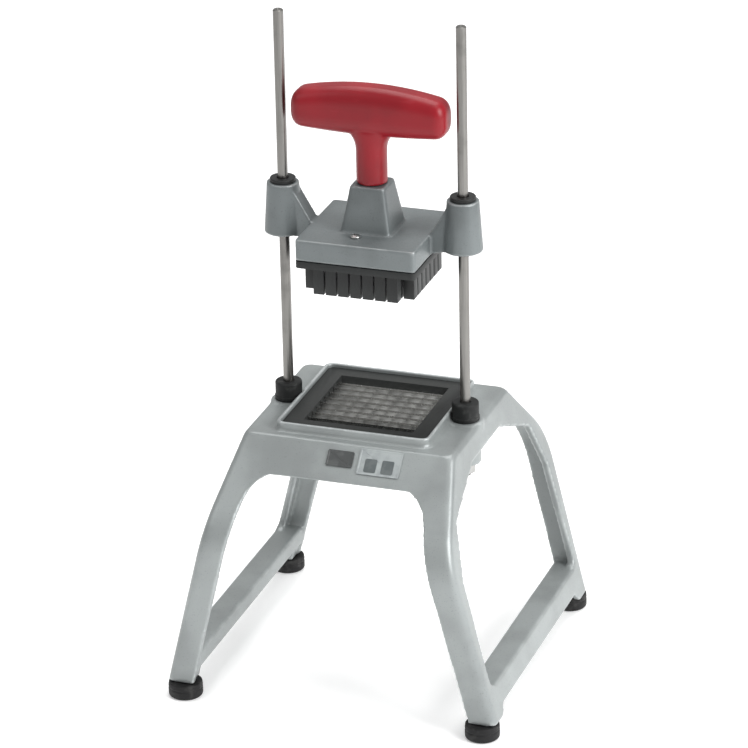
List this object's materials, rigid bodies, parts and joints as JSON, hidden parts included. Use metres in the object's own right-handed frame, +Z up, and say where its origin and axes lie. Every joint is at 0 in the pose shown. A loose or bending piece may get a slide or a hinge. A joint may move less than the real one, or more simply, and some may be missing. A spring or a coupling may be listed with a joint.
{
  "type": "vegetable dicer",
  "caption": "Manual push-down vegetable dicer: cast stand with a crossed-blade cartridge, upright guide rods, and a sliding pusher head with finger block and red T-handle.",
  "frame": {"origin": "on the floor, under the middle of the stand", "axes": "+Z up along the guide rods, +X to the right seen from the label side, -Y to the front, the side with the label plates"},
  "size_m": [0.27, 0.262, 0.5295],
  "materials": {
    "frame_paint": "light silver-grey paint, satin",
    "head_casting": "mid grey casting, satin",
    "rod_steel": "drawn bright",
    "blade_steel": "ground",
    "fixing_steel": "plain",
    "black_plastic": "moulded, matt",
    "red_plastic": "moulded, satin",
    "rubber": "matt",
    "label": "blank sheet"
  },
  "bodies": {
    "stand": {"cast_frame": "frame_paint", "blade_cartridge": "black_plastic", "blade_lower_1": "blade_steel", "blade_lower_2": "blade_steel", "blade_lower_3": "blade_steel", "blade_lower_4": "blade_steel", "blade_lower_5": "blade_steel", "blade_lower_6": "blade_steel", "blade_lower_7": "blade_steel", "blade_lower_8": "blade_steel", "blade_upper_1": "blade_steel", "blade_upper_2": "blade_steel", "blade_upper_3": "blade_steel", "blade_upper_4": "blade_steel", "blade_upper_5": "blade_steel", "blade_upper_6": "blade_steel", "blade_upper_7": "blade_steel", "blade_upper_8": "blade_steel", "label_plate_left": "label", "label_plate_right": "label", "guide_rod_left": "rod_steel", "guide_rod_right": "rod_steel", "rod_bumper_left": "rubber", "rod_bumper_right": "rubber", "rod_washer_left": "fixing_steel", "rod_washer_right": "fixing_steel", "rod_nut_left": "fixing_steel", "rod_nut_right": "fixing_steel", "foot_front_left": "rubber", "foot_front_right": "rubber", "foot_rear_left": "rubber", "foot_rear_right": "rubber", "foot_screw_front_left": "fixing_steel", "foot_screw_front_right": "fixing_steel", "foot_screw_rear_left": "fixing_steel", "foot_screw_rear_right": "fixing_steel"},
    "pusher": {"pusher_head": "head_casting", "pusher_block": "black_plastic", "block_screw_front": "fixing_steel", "block_screw_rear": "fixing_steel", "t_handle": "red_plastic", "handle_stud": "fixing_steel", "handle_washer": "fixing_steel", "handle_nut": "fixing_steel", "upper_bush_left": "black_plastic", "upper_bush_right": "black_plastic", "lower_bush_left": "black_plastic", "lower_bush_right": "black_plastic"}
  },
  "joints": [
    {"name": "pusher_slide", "type": "slide", "parent": "stand", "child": "pusher", "axis": [0, 0, 1], "range_m": [-0.125, 0.13]}
  ]
}
